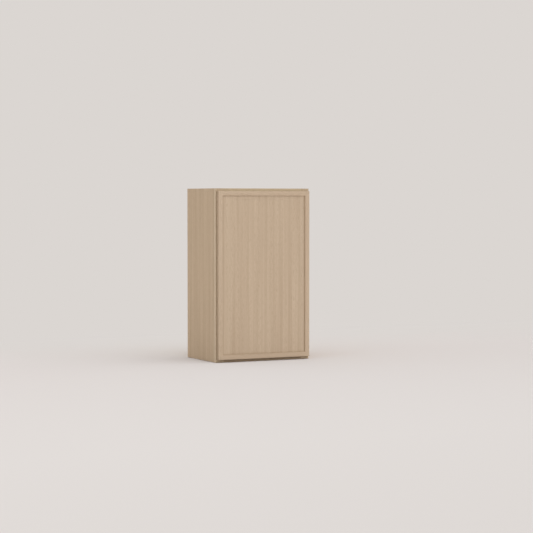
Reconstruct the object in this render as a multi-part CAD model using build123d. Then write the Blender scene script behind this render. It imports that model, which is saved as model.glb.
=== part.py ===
"""Hanging wall cabinet with a face frame and one full-overlay, slim-framed door.

The origin is the centre of the four hanging-screw holes, on the wall plane.
+X is the viewer's right, +Y points into the wall and +Z is up. Sizes are in millimetres.
"""
import os

from build123d import *

# Overall cabinet, without the door
WIDTH = 457.2
HEIGHT = 762.0
DEPTH = 304.8

# Face frame
FRAME_THICK = 19.05
FRAME_STILE = 38.1
FRAME_RAIL = 38.1
FRAME_EASE = 0.8
JOINT_EASE = 0.5
TENON_LONG = 12.7
TENON_THICK = 6.35
TENON_HIGH = 25.4

# Carcass boards and the joints between them
SIDE_THICK = 12.7
DECK_THICK = 12.7
BACK_THICK = 6.35
DADO_DEEP = 6.35
TONGUE_THICK = 6.35
TONGUE_LONG = 6.35

# Hanging rails and the holes for the wall screws
HANG_THICK = 19.05
HANG_HIGH = 88.9
WALL_HOLE_RADIUS = 2.5
WALL_HOLE_SPACING = 304.8

# Shelves on pins
SHELF_THICK = 19.05
SHELF_SIDE_GAP = 1.0
SHELF_BACK_GAP = 2.0
SHELF_SETBACK = 14.0
BAND_THICK = 1.0
PIN_HOLE_RADIUS = 2.5
PIN_HOLE_DEEP = 9.5
PIN_PITCH = 32.0
ROWS_BESIDE_SHELF = 1
PIN_COLUMN_INSET = 50.0
LOWER_SHELF_ROW = -4
UPPER_SHELF_ROW = 3
PIN_CLEAR = 0.05
PIN_STEM_LONG = 8.0
PIN_COLLAR_RADIUS = 4.0
PIN_COLLAR_THICK = 0.8
SPOON_LONG = 13.0
SPOON_WIDE = 9.0
SPOON_THICK = 2.0

# Door
DOOR_SIDE_REVEAL = 4.8
DOOR_TOP_REVEAL = 11.1
DOOR_BOTTOM_REVEAL = 12.7
DOOR_GAP = 1.6
DOOR_THICK = 16.0
DOOR_MEMBER = 20.6
DOOR_EASE = 0.8
DOOR_BACK_EASE = 1.5
PANEL_THICK = 12.0
PANEL_TONGUE_THICK = 6.35
PANEL_TONGUE_LONG = 6.35
BUMPER_RADIUS = 4.0
BUMPER_THICK = 1.3
BUMPER_BEVEL = 0.7
BUMPER_FROM_SIDE = 12.0
BUMPER_FROM_END = 25.0

# Concealed hinge: u runs inwards from the door's hinged edge, v runs into the door from its back
HINGE_FROM_END = 89.0
CUP_TAB = 3.0
CUP_RADIUS = 17.5
CUP_DEEP = 10.6
CUP_WALL = 0.7
CUP_CLEAR = 0.05
FLANGE_THICK = 1.0
FLANGE_RIM = 0.7
WING_HALF_SPAN = 28.0
WING_WIDE = 13.0
WING_CORNER = 4.0
CUP_SCREW_OFFSET = 9.5
CUP_SCREW_HALF_PITCH = 22.5
CUP_SCREW_LONG = 11.0
PIVOT_U = 6.0
PIVOT_V = 7.5
PIVOT_RADIUS = 1.2
PIVOT_HALF_LONG = 7.4
PIVOT_SEAT_CLEAR = 0.02
PIVOT_RUN_CLEAR = 0.05
LUG_INNER_Z = 4.7
LUG_OUTER_Z = 8.2
LUG_LONG = 3.0
LUG_RISE = 3.5
WINDOW_HALF_HIGH = 4.6
EYE_RADIUS = 2.2
ARM_THICK = 2.0
ARM_HALF_HIGH = 6.0
NECK_HALF_HIGH = 4.0
NECK_LONG = 11.5
ARM_BEND = 1.5
LEG_SHORT_OF_FRAME_BACK = 1.5
BASE_THICK = 7.7
BASE_HALF_HIGH = 22.0
BASE_SHORT_OF_FRAME_FRONT = 1.0
BASE_LIP_THICK = 2.5
BASE_LIP_LONG = 9.3
BASE_CORNER = 4.0
BASE_EDGE = 0.6
BASE_CHANNEL_CLEAR = 0.05
BASE_SCREW_HALF_PITCH = 14.0
BASE_SCREW_LONG = 20.0
SCREW_RADIUS = 1.7
SCREW_HEAD_RADIUS = 3.5
SCREW_HEAD_HIGH = 1.8
SCREW_TIP_LONG = 3.0
SCREW_CLEAR = 0.03
CAM_RADIUS = 3.5
CAM_FROM_FRAME_FRONT = 6.0
LOCK_RADIUS = 2.5
LOCK_FROM_CAM = 8.5
ADJUSTER_CLEAR = 0.05
DAMPER_RADIUS = 2.5
DAMPER_LONG = 14.0
DAMPER_FROM_AXIS = 10.2
DAMPER_SEAT_GAP = 0.05
DAMPER_BEVEL = 0.6
PLUNGER_RADIUS = 1.1
PLUNGER_LONG = 4.0

# Places worked out from the sizes above
SIDE_OUT = WIDTH / 2
SIDE_IN = SIDE_OUT - SIDE_THICK
DADO_FLOOR = SIDE_IN + DADO_DEEP
TOP = HEIGHT / 2
BOTTOM = -HEIGHT / 2
FRONT = -DEPTH
FRAME_BACK = FRONT + FRAME_THICK
FRAME_MID = FRONT + FRAME_THICK / 2
STILE_IN = SIDE_OUT - FRAME_STILE
BACK_REAR = -HANG_THICK
BACK_FACE = BACK_REAR - BACK_THICK
INSIDE_TOP = TOP - FRAME_RAIL
INSIDE_BOTTOM = BOTTOM + FRAME_RAIL
WALL_HOLE_TOP = (INSIDE_TOP + TOP - HANG_HIGH) / 2
WALL_HOLE_BOTTOM = (INSIDE_BOTTOM + BOTTOM + HANG_HIGH) / 2
SHELF_SEAT = PIN_HOLE_RADIUS - PIN_CLEAR
SHELF_FRONT = FRAME_BACK + SHELF_SETBACK
PIN_COLUMNS = (FRAME_BACK + PIN_COLUMN_INSET, BACK_FACE - PIN_COLUMN_INSET)
DOOR_EDGE = SIDE_OUT - DOOR_SIDE_REVEAL
DOOR_TOP = TOP - DOOR_TOP_REVEAL
DOOR_BOTTOM = BOTTOM + DOOR_BOTTOM_REVEAL
DOOR_BACK = FRONT - DOOR_GAP
DOOR_FRONT = DOOR_BACK - DOOR_THICK
MEMBER_IN = DOOR_EDGE - DOOR_MEMBER
GROOVE_FLOOR = MEMBER_IN + PANEL_TONGUE_LONG
CUP_U = CUP_TAB + CUP_RADIUS
OVERLAY = FRAME_STILE - DOOR_SIDE_REVEAL
HINGES = {"upper": DOOR_TOP - HINGE_FROM_END, "lower": DOOR_BOTTOM + HINGE_FROM_END}


def block(x0, x1, y0, y1, z0, z1):
    """A board between two opposite corners."""
    middle = Pos((x0 + x1) / 2, (y0 + y1) / 2, (z0 + z1) / 2)
    return middle * Box(abs(x1 - x0), abs(y1 - y0), abs(z1 - z0))


def rod_x(x0, x1, y, z, radius):
    """A round bar along X."""
    return Pos((x0 + x1) / 2, y, z) * Rot(0, 90, 0) * Cylinder(radius, abs(x1 - x0))


def rod_y(x, y0, y1, z, radius):
    """A round bar along Y."""
    return Pos(x, (y0 + y1) / 2, z) * Rot(90, 0, 0) * Cylinder(radius, abs(y1 - y0))


def left_of(shape):
    """The mirror twin on the other side of the cabinet."""
    return mirror(shape, about=Plane.YZ)


def hinge_x(u):
    return DOOR_EDGE - u


def hinge_y(v):
    return DOOR_BACK - v


def hinge_block(u0, u1, v0, v1, z0, z1):
    """A block in the hinge's own directions."""
    return block(hinge_x(u0), hinge_x(u1), hinge_y(v0), hinge_y(v1), z0, z1)


def wood_screw(length, clear=0.0):
    """A countersunk screw with its head face at the origin, pointing along -Z."""
    shank = SCREW_RADIUS + clear
    head = SCREW_HEAD_RADIUS + clear
    outline = Polyline(
        (0, 0),
        (head, 0),
        (shank, -SCREW_HEAD_HIGH),
        (shank, -length + SCREW_TIP_LONG),
        (0, -length - clear),
        close=True,
    )
    return revolve(Plane.XZ * make_face(outline), Axis.Z)


# Carcass

def deck_heights(level):
    """Lower and upper face of the top or bottom panel, flush with its frame rail's inner edge."""
    if level == "top":
        return INSIDE_TOP, INSIDE_TOP + DECK_THICK
    return INSIDE_BOTTOM - DECK_THICK, INSIDE_BOTTOM


def deck_tongue(level):
    """The tongue on the front of a deck, also the groove in the frame rail."""
    low, high = deck_heights(level)
    middle = (low + high) / 2
    half = TONGUE_THICK / 2
    return block(-STILE_IN, STILE_IN, FRAME_BACK - TONGUE_LONG, FRAME_BACK, middle - half, middle + half)


def side_tongue():
    """The tongue on the front edge of the right side, also the groove in the right frame stile."""
    middle = SIDE_OUT - SIDE_THICK / 2
    half = TONGUE_THICK / 2
    return block(middle - half, middle + half, FRAME_BACK - TONGUE_LONG, FRAME_BACK, BOTTOM, TOP)


def right_side_panel():
    board = block(SIDE_IN, SIDE_OUT, FRAME_BACK, 0, BOTTOM, TOP)
    outer_front = board.edges().filter_by(Axis.Z).group_by(Axis.X)[-1].sort_by(Axis.Y)[0]
    board = chamfer(outer_front, JOINT_EASE) + side_tongue()
    for level in ("top", "bottom"):
        low, high = deck_heights(level)
        board -= block(SIDE_IN, DADO_FLOOR, FRAME_BACK, BACK_FACE, low, high)
    board -= block(SIDE_IN, DADO_FLOOR, BACK_FACE, BACK_REAR, BOTTOM, TOP)
    holes = [
        rod_x(SIDE_IN, SIDE_IN + PIN_HOLE_DEEP, column, (shelf_row + step) * PIN_PITCH, PIN_HOLE_RADIUS)
        for column in PIN_COLUMNS
        for shelf_row in (LOWER_SHELF_ROW, UPPER_SHELF_ROW)
        for step in range(-ROWS_BESIDE_SHELF, ROWS_BESIDE_SHELF + 1)
    ]
    return board - holes


def deck(level):
    low, high = deck_heights(level)
    return block(-DADO_FLOOR, DADO_FLOOR, FRAME_BACK, BACK_FACE, low, high) + deck_tongue(level)


def wall_holes(z):
    """Cutters for the two wall-screw holes at one height, through rail and back."""
    half = WALL_HOLE_SPACING / 2
    return [rod_y(x, BACK_FACE, 0, z, WALL_HOLE_RADIUS) for x in (-half, half)]


def back_panel():
    board = block(-DADO_FLOOR, DADO_FLOOR, BACK_FACE, BACK_REAR, BOTTOM, TOP)
    return board - wall_holes(WALL_HOLE_TOP) - wall_holes(WALL_HOLE_BOTTOM)


def hanging_rail(low, high, hole_height):
    return block(-SIDE_IN, SIDE_IN, BACK_REAR, 0, low, high) - wall_holes(hole_height)


# Face frame

def rail_tenon(middle, end):
    """The tenon on the right end of a frame rail, also its mortise in the stile."""
    half_thick = TENON_THICK / 2
    half_high = TENON_HIGH / 2
    return block(
        STILE_IN, end, FRAME_MID - half_thick, FRAME_MID + half_thick, middle - half_high, middle + half_high
    )


def frame_rail(level):
    low, high = (INSIDE_TOP, TOP) if level == "top" else (BOTTOM, INSIDE_BOTTOM)
    tenon = rail_tenon((low + high) / 2, STILE_IN + TENON_LONG)
    board = block(-STILE_IN, STILE_IN, FRONT, FRAME_BACK, low, high) + tenon + left_of(tenon)
    return board - deck_tongue(level)


def frame_stile():
    """The right stile, before the hinge screws are let into it."""
    board = block(STILE_IN, SIDE_OUT, FRONT, FRAME_BACK, BOTTOM, TOP)
    outer_back = board.edges().filter_by(Axis.Z).group_by(Axis.X)[-1].sort_by(Axis.Y)[-1]
    board = chamfer(outer_back, JOINT_EASE)
    outer_front = board.edges().filter_by(Axis.Z).group_by(Axis.X)[-1].sort_by(Axis.Y)[0]
    board = fillet(outer_front, FRAME_EASE) - side_tongue()
    for middle in (TOP - FRAME_RAIL / 2, BOTTOM + FRAME_RAIL / 2):
        board -= rail_tenon(middle, STILE_IN + TENON_LONG)
    return board


# Shelves

def shelf_bottom(row):
    return row * PIN_PITCH + SHELF_SEAT


def shelf(row):
    half = SIDE_IN - SHELF_SIDE_GAP
    low = shelf_bottom(row)
    return block(-half, half, SHELF_FRONT + BAND_THICK, BACK_FACE - SHELF_BACK_GAP, low, low + SHELF_THICK)


def shelf_edge_band(row):
    half = SIDE_IN - SHELF_SIDE_GAP
    low = shelf_bottom(row)
    return block(-half, half, SHELF_FRONT, SHELF_FRONT + BAND_THICK, low, low + SHELF_THICK)


def shelf_pin():
    """A spoon pin for the right side: the hole's mouth is at the origin and the spoon reaches to -X."""
    stem = rod_x(-PIN_COLLAR_THICK, PIN_STEM_LONG, 0, 0, PIN_HOLE_RADIUS - PIN_CLEAR)
    collar = rod_x(-PIN_COLLAR_THICK, 0, 0, 0, PIN_COLLAR_RADIUS)
    straight = SPOON_LONG - SPOON_WIDE / 2
    outline = Pos(-straight / 2, 0) * Rectangle(straight, SPOON_WIDE)
    outline += Pos(-straight, 0) * Circle(SPOON_WIDE / 2)
    spoon = extrude(Plane.XY.offset(SHELF_SEAT - SPOON_THICK) * outline, SPOON_THICK)
    return stem + collar + spoon


def shelf_pins(row):
    pin = shelf_pin()
    right = [Pos(SIDE_IN, column, row * PIN_PITCH) * pin for column in PIN_COLUMNS]
    return Compound(right + [left_of(one) for one in right])


# Hinges: the half that is fixed to the face frame

def frame_v(from_front):
    """A place behind the face frame's front, in the hinge's depth direction."""
    return -DOOR_GAP - from_front


def hinge_arm(z):
    """A bent strap: its eye turns on the pin, it lies in the cup and returns along the stile's inner edge."""
    bar_v = PIVOT_V + ARM_THICK / 2
    leg_x = hinge_x(OVERLAY + ARM_THICK / 2)
    leg_end = hinge_y(frame_v(FRAME_THICK - LEG_SHORT_OF_FRAME_BACK))
    neck_end = PIVOT_U + NECK_LONG
    centre_line = FilletPolyline(
        (hinge_x(neck_end), hinge_y(bar_v)), (leg_x, hinge_y(bar_v)), (leg_x, leg_end), radius=ARM_BEND
    )
    strap = extrude(Plane.XY.offset(z - ARM_HALF_HIGH) * trace(centre_line, ARM_THICK), 2 * ARM_HALF_HIGH)
    neck = hinge_block(
        PIVOT_U, neck_end, PIVOT_V, PIVOT_V + ARM_THICK, z - NECK_HALF_HIGH, z + NECK_HALF_HIGH
    )
    pivot = Pos(hinge_x(PIVOT_U), hinge_y(PIVOT_V), z)
    eye = pivot * Cylinder(EYE_RADIUS, 2 * NECK_HALF_HIGH)
    bore = pivot * Cylinder(PIVOT_RADIUS + PIVOT_RUN_CLEAR, 4 * NECK_HALF_HIGH)
    return strap + neck + eye - bore


def base_screw_places(z):
    middle = hinge_y(frame_v(FRAME_THICK / 2))
    face = hinge_x(OVERLAY + BASE_THICK)
    return [Pos(face, middle, z + side * BASE_SCREW_HALF_PITCH) * Rot(0, -90, 0) for side in (-1, 1)]


def base_screws(z, clear=0.0):
    return [place * wood_screw(BASE_SCREW_LONG, clear) for place in base_screw_places(z)]


def adjusters(z, clear=0.0):
    """The eccentric cam and the locking screw that hold the arm's leg."""
    inner = hinge_x(OVERLAY + ARM_THICK)
    face = hinge_x(OVERLAY + BASE_THICK)
    cam_y = hinge_y(frame_v(CAM_FROM_FRAME_FRONT))
    lock_y = cam_y + LOCK_FROM_CAM
    return [
        rod_x(face, inner, cam_y, z, CAM_RADIUS + clear),
        rod_x(face, inner, lock_y, z, LOCK_RADIUS + clear),
    ]


def hinge_base(z):
    """A cast base that wraps the stile's inner edge and clamps the arm's leg against it."""
    front = frame_v(BASE_SHORT_OF_FRAME_FRONT)
    rear = frame_v(FRAME_THICK)
    low = z - BASE_HALF_HIGH
    high = z + BASE_HALF_HIGH
    body = hinge_block(OVERLAY, OVERLAY + BASE_THICK, front, rear - BASE_LIP_THICK, low, high)
    lip = hinge_block(OVERLAY - BASE_LIP_LONG, OVERLAY, rear, rear - BASE_LIP_THICK, low, high)
    body += lip
    front_corners = body.edges().filter_by(Axis.X).group_by(Axis.Y)[0]
    body = fillet(front_corners, BASE_CORNER)
    lip_corners = body.edges().filter_by(Axis.Y).group_by(Axis.X)[-1]
    body = fillet(lip_corners, BASE_CORNER)
    inner_face = body.faces().sort_by(Axis.X)[0]
    body = chamfer(inner_face.edges(), BASE_EDGE)
    channel = hinge_block(
        OVERLAY,
        OVERLAY + ARM_THICK,
        front,
        rear,
        z - ARM_HALF_HIGH - BASE_CHANNEL_CLEAR,
        z + ARM_HALF_HIGH + BASE_CHANNEL_CLEAR,
    )
    return body - channel - base_screws(z, SCREW_CLEAR) - adjusters(z, ADJUSTER_CLEAR)


# Hinges: the half that is let into the door

def cup_bore(z):
    """Cutter for the round pocket in the door's back."""
    radius = CUP_RADIUS + CUP_CLEAR
    return rod_y(hinge_x(CUP_U), hinge_y(0), hinge_y(CUP_DEEP + CUP_CLEAR), z, radius)


def cup_screw_places(z):
    x = hinge_x(CUP_U + CUP_SCREW_OFFSET)
    y = hinge_y(-FLANGE_THICK)
    return [Pos(x, y, z + side * CUP_SCREW_HALF_PITCH) * Rot(-90, 0, 0) for side in (-1, 1)]


def cup_screws(z, clear=0.0):
    return [place * wood_screw(CUP_SCREW_LONG, clear) for place in cup_screw_places(z)]


def hinge_pin(z, clear=0.0):
    place = Pos(hinge_x(PIVOT_U), hinge_y(PIVOT_V), z)
    return place * Cylinder(PIVOT_RADIUS + clear, 2 * (PIVOT_HALF_LONG + clear))


def hinge_cup(z):
    """A pressed cup with screw wings, two lugs for the pin and a window where the arm's eye turns."""
    x = hinge_x(CUP_U)
    floor = CUP_DEEP - CUP_WALL
    inner = CUP_RADIUS - CUP_WALL
    outside = rod_y(x, hinge_y(0), hinge_y(CUP_DEEP), z, CUP_RADIUS)
    wings = Pos(-CUP_SCREW_OFFSET, 0) * RectangleRounded(WING_WIDE, 2 * WING_HALF_SPAN, WING_CORNER)
    rim = Circle(CUP_RADIUS + FLANGE_RIM) + wings
    door_face = Plane((x, hinge_y(0), z), x_dir=(1, 0, 0), z_dir=(0, -1, 0))
    plate = extrude(door_face * rim, -FLANGE_THICK)
    hollow = rod_y(x, hinge_y(-FLANGE_THICK), hinge_y(floor), z, inner)
    cup = outside + plate - hollow
    lug_start = PIVOT_U - LUG_LONG
    lug_end = PIVOT_U + LUG_LONG
    for side in (-1, 1):
        lug = hinge_block(
            lug_start, lug_end, PIVOT_V - LUG_RISE, floor, z + side * LUG_INNER_Z, z + side * LUG_OUTER_Z
        )
        cup += lug & outside
    cup -= hinge_block(0, PIVOT_U, -FLANGE_THICK, floor, z - WINDOW_HALF_HIGH, z + WINDOW_HALF_HIGH)
    return cup - hinge_pin(z, PIVOT_SEAT_CLEAR) - cup_screws(z, SCREW_CLEAR)


def hinge_damper(z):
    """A closing damper on the cup's floor beside the arm, with its plunger towards the pin."""
    v = CUP_DEEP - CUP_WALL - DAMPER_RADIUS - DAMPER_SEAT_GAP
    place = Pos(hinge_x(CUP_U), hinge_y(v), z + DAMPER_FROM_AXIS)
    barrel = Rot(0, 90, 0) * Cylinder(DAMPER_RADIUS, DAMPER_LONG)
    barrel = chamfer(barrel.edges().filter_by(GeomType.CIRCLE), DAMPER_BEVEL)
    plunger = rod_x(DAMPER_LONG / 2, DAMPER_LONG / 2 + PLUNGER_LONG, 0, 0, PLUNGER_RADIUS)
    return place * (barrel + plunger)


# Door

def door_envelope():
    """The whole door as one block with eased outer edges, rounder at the back, where it swings past the frame."""
    whole = block(-DOOR_EDGE, DOOR_EDGE, DOOR_FRONT, DOOR_BACK, DOOR_BOTTOM, DOOR_TOP)
    back_edges = whole.faces().sort_by(Axis.Y)[-1].edges()
    front_edges = whole.faces().sort_by(Axis.Y)[0].edges()
    return fillet(front_edges, DOOR_EASE) & fillet(back_edges, DOOR_BACK_EASE)


def panel_tongue_depths():
    middle = DOOR_BACK - PANEL_THICK / 2
    return middle - PANEL_TONGUE_THICK / 2, middle + PANEL_TONGUE_THICK / 2


def door_stile(envelope):
    """The right stile, before the hinge cups are let into it."""
    front, back = panel_tongue_depths()
    board = block(MEMBER_IN, DOOR_EDGE, DOOR_FRONT, DOOR_BACK, DOOR_BOTTOM, DOOR_TOP) & envelope
    return board - block(MEMBER_IN, GROOVE_FLOOR, front, back, DOOR_BOTTOM, DOOR_TOP)


def door_rail(envelope, level):
    """A rail between the stiles, with stub tenons that fill the ends of their grooves."""
    front, back = panel_tongue_depths()
    if level == "top":
        outer, inner, groove = DOOR_TOP, DOOR_TOP - DOOR_MEMBER, DOOR_TOP - DOOR_MEMBER + PANEL_TONGUE_LONG
    else:
        outer = DOOR_BOTTOM
        inner = DOOR_BOTTOM + DOOR_MEMBER
        groove = inner - PANEL_TONGUE_LONG
    board = block(-MEMBER_IN, MEMBER_IN, DOOR_FRONT, DOOR_BACK, inner, outer)
    board -= block(-MEMBER_IN, MEMBER_IN, front, back, inner, groove)
    board += block(-GROOVE_FLOOR, GROOVE_FLOOR, front, back, groove, outer)
    return board & envelope


def door_panel():
    """The flat panel, before the hinge cups are let into it."""
    front, back = panel_tongue_depths()
    low = DOOR_BOTTOM + DOOR_MEMBER
    high = DOOR_TOP - DOOR_MEMBER
    board = block(-MEMBER_IN, MEMBER_IN, DOOR_BACK - PANEL_THICK, DOOR_BACK, low, high)
    reach = PANEL_TONGUE_LONG
    return board + block(-GROOVE_FLOOR, GROOVE_FLOOR, front, back, low - reach, high + reach)


def door_bumpers():
    """Two soft bevelled pads on the back of the door's free side."""
    x = -DOOR_EDGE + BUMPER_FROM_SIDE
    disc = Rot(-90, 0, 0) * Pos(0, 0, BUMPER_THICK / 2) * Cylinder(BUMPER_RADIUS, BUMPER_THICK)
    pad = chamfer(disc.edges().sort_by(Axis.Y)[-1], BUMPER_BEVEL)
    heights = (DOOR_BOTTOM + BUMPER_FROM_END, DOOR_TOP - BUMPER_FROM_END)
    return Compound([Pos(x, DOOR_BACK, z) * pad for z in heights])


# Every node, by name

def make_nodes():
    envelope = door_envelope()
    bores = [cup_bore(z) for z in HINGES.values()]
    cup_screw_cuts = [cut for z in HINGES.values() for cut in cup_screws(z, SCREW_CLEAR)]
    base_screw_cuts = [cut for z in HINGES.values() for cut in base_screws(z, SCREW_CLEAR)]
    side = right_side_panel()
    frame_side = frame_stile()
    door_side = door_stile(envelope)
    nodes = {
        "left_side_panel": left_of(side),
        "right_side_panel": side,
        "top_panel": deck("top"),
        "bottom_panel": deck("bottom"),
        "back_panel": back_panel(),
        "upper_hanging_rail": hanging_rail(TOP - HANG_HIGH, TOP, WALL_HOLE_TOP),
        "lower_hanging_rail": hanging_rail(BOTTOM, BOTTOM + HANG_HIGH, WALL_HOLE_BOTTOM),
        "left_frame_stile": left_of(frame_side),
        "right_frame_stile": frame_side - base_screw_cuts,
        "top_frame_rail": frame_rail("top"),
        "bottom_frame_rail": frame_rail("bottom"),
        "door_left_stile": left_of(door_side),
        "door_right_stile": door_side - bores,
        "door_top_rail": door_rail(envelope, "top"),
        "door_bottom_rail": door_rail(envelope, "bottom"),
        "door_panel": door_panel() - bores - cup_screw_cuts,
        "door_bumpers": door_bumpers(),
    }
    for name, row in (("upper", UPPER_SHELF_ROW), ("lower", LOWER_SHELF_ROW)):
        nodes[f"{name}_shelf"] = shelf(row)
        nodes[f"{name}_shelf_edge_band"] = shelf_edge_band(row)
        nodes[f"{name}_shelf_pins"] = shelf_pins(row)
    for name, z in HINGES.items():
        nodes[f"{name}_hinge_arm"] = hinge_arm(z)
        nodes[f"{name}_hinge_base"] = hinge_base(z)
        nodes[f"{name}_hinge_base_screws"] = Compound(base_screws(z))
        nodes[f"{name}_hinge_adjusters"] = Compound(adjusters(z))
        nodes[f"{name}_hinge_cup"] = hinge_cup(z)
        nodes[f"{name}_hinge_pin"] = hinge_pin(z)
        nodes[f"{name}_hinge_cup_screws"] = Compound(cup_screws(z))
        nodes[f"{name}_hinge_damper"] = hinge_damper(z)
    return nodes


os.makedirs("parts", exist_ok=True)
for node_name, node_shape in make_nodes().items():
    export_step(node_shape, f"parts/{node_name}.step")
    print(node_name)
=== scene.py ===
# %% [markdown]
# A hanging wall cabinet in pale oak, from its CAD model to its finished looks.
# The shape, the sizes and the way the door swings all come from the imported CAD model, and this script never
# moves them. It gives the cabinet its camera, floor and light, then its woods, metals and plastics, and last
# the small repeated hardware that the CAD model keeps plain.

# %% Load the CAD model as a fixed frame
import math

import bmesh
import bpy
from mathutils import Matrix, Vector


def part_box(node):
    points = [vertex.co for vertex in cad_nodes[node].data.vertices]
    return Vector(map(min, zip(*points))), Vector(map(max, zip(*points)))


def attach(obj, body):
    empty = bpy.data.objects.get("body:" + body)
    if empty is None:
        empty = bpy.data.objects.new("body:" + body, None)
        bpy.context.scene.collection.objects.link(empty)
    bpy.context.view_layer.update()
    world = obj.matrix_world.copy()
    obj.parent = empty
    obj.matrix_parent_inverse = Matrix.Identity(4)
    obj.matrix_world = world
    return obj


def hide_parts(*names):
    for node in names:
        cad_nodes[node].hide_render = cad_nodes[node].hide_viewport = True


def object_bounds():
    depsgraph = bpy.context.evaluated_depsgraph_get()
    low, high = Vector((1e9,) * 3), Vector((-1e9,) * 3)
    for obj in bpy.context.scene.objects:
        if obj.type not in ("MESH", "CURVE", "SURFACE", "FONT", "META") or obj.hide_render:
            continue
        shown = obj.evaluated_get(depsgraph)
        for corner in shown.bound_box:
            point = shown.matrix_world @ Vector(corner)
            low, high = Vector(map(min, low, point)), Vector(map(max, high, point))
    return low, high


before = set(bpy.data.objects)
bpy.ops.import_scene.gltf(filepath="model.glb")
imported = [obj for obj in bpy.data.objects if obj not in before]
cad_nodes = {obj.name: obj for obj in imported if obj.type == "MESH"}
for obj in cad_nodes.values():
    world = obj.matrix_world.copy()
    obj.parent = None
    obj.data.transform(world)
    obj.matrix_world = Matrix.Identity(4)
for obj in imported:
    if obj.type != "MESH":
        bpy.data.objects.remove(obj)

MM = 0.001
scene = bpy.context.scene
cad_box = [list(corner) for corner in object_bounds()]

# %% [markdown]
# The photograph was taken with a long lens about eight metres away, from the cabinet's left and from a little
# under its top edge, so its upright edges stay almost parallel. The numbers below were found by matching ten
# corners of the cabinet with their places in the picture. The camera is tipped down instead of shifted, so
# that views from other sides stay centred.

# %% Camera
CAMERA_PLACE = (-3.3276, -7.0314, 0.3301)
CAMERA_TURN = 26.448
CAMERA_TIP = 2.242
CAMERA_LENS = 114.72
SENSOR_WIDTH = 36.0

lens = bpy.data.cameras.new("Photograph lens")
lens.sensor_width = SENSOR_WIDTH
lens.lens = CAMERA_LENS
camera = bpy.data.objects.new("Photograph camera", lens)
camera.location = CAMERA_PLACE
camera.rotation_euler = (math.radians(90 - CAMERA_TIP), 0, math.radians(-CAMERA_TURN))
scene.collection.objects.link(camera)
scene.camera = camera
scene.view_settings.view_transform = "Standard"
print("camera", round(camera.location.length, 2), "m from the cabinet")

# %% [markdown]
# Every material and node tree below is built from the same small helpers. The first turns a colour as a
# painter would name it, an sRGB hex value, into the linear numbers that a renderer works with. The second
# adds one node, sets its options, and fills its inputs with numbers or with links from other nodes. The
# other two start a material, and turn a pattern into a blend of two colours.

# %% Helpers for colours, nodes and materials
def linear(hex_colour):
    """An sRGB hex colour as linear red, green, blue and alpha."""
    channels = [int(hex_colour[i:i + 2], 16) / 255 for i in (1, 3, 5)]
    return [c / 12.92 if c <= 0.04045 else ((c + 0.055) / 1.055) ** 2.4 for c in channels] + [1.0]


def add(tree, kind, inputs=None, **settings):
    """A new node with its settings. An input that is a socket is linked, and any other is set."""
    node = tree.nodes.new(kind)
    for name, value in settings.items():
        setattr(node, name, value)
    for key, value in (inputs or {}).items():
        sources = value if isinstance(value, list) else [value]
        if isinstance(sources[0], bpy.types.NodeSocket):
            for source in sources:
                tree.links.new(source, node.inputs[key])
        else:
            node.inputs[key].default_value = value
    return node


def new_material(name):
    """An empty node material, its tree and the cabinet's own coordinates in metres."""
    material = bpy.data.materials.new(name)
    material.use_nodes = True
    tree = material.node_tree
    tree.nodes.clear()
    return material, tree, add(tree, "ShaderNodeTexCoord").outputs["Object"]


def tinted(tree, pattern, span, first, second):
    """A pattern as colour: the first colour where it is below its span and the second where it is above."""
    share = add(tree, "ShaderNodeMapRange", {"Value": pattern, "From Min": span[0], "From Max": span[1]})
    ends = [linear(end) if isinstance(end, str) else end for end in (first, second)]
    blend = add(tree, "ShaderNodeMix", {0: share.outputs[0], 6: ends[0], 7: ends[1]}, data_type="RGBA")
    return blend.outputs[2]


print("middle grey in linear light:", [round(c, 3) for c in linear("#808080")])

# %% [markdown]
# The cabinet stands on a plain pale studio floor that runs back without a visible edge. A world of even white
# light does most of the lighting. A weak, very broad sun from the front, right and above gives the front a
# little more than the left side, and draws soft shadow lines along the door's narrow frame. A second one from
# behind, on the same side, thins the shadow on the floor behind the cabinet. The floor is an ordinary matt
# surface in front of the cabinet and round it, so it takes the shadow. Behind the cabinet, and far away on
# every side, it fades into the background colour, but only for rays that look at it.

# %% World light and background
BACKGROUND = "#DBD6D2"
WORLD_WHITE = "#FFFFFF"
WORLD_LIGHT = 0.92


def looking(tree):
    """1 for rays that look: straight from the camera, or by way of a reflection or a clear plastic."""
    rays = add(tree, "ShaderNodeLightPath")
    seen = rays.outputs["Is Camera Ray"]
    for kind in ("Is Glossy Ray", "Is Transmission Ray"):
        seen = add(tree, "ShaderNodeMath", {0: seen, 1: rays.outputs[kind]}, operation="MAXIMUM").outputs[0]
    return seen


world = bpy.data.worlds.new("Even studio light")
world.use_nodes = True
scene.world = world
sky = world.node_tree
sky.nodes.clear()
even = add(sky, "ShaderNodeBackground", {"Color": linear(WORLD_WHITE), "Strength": WORLD_LIGHT})
pale = add(sky, "ShaderNodeBackground", {"Color": linear(BACKGROUND), "Strength": 1.0})
blend = add(sky, "ShaderNodeMixShader", {0: looking(sky), 1: even.outputs[0], 2: pale.outputs[0]})
add(sky, "ShaderNodeOutputWorld", {"Surface": blend.outputs[0]})
print("even world light of strength", WORLD_LIGHT)

# %% Two broad suns
SUNS = {
    "Broad key light": (0.87, Vector((0.55, -0.65, 0.50))),
    "Broad back light": (0.83, Vector((0.55, 0.60, 0.60))),
}
SUN_WIDTH = 100

for title, (strength, comes_from) in SUNS.items():
    lamp = bpy.data.lights.new(title, "SUN")
    lamp.energy = strength
    lamp.angle = math.radians(SUN_WIDTH)
    sun = bpy.data.objects.new(title, lamp)
    sun.rotation_euler = comes_from.to_track_quat("Z", "Y").to_euler()
    scene.collection.objects.link(sun)
    print(title, "of strength", strength, "and", SUN_WIDTH, "degrees wide")

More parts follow.
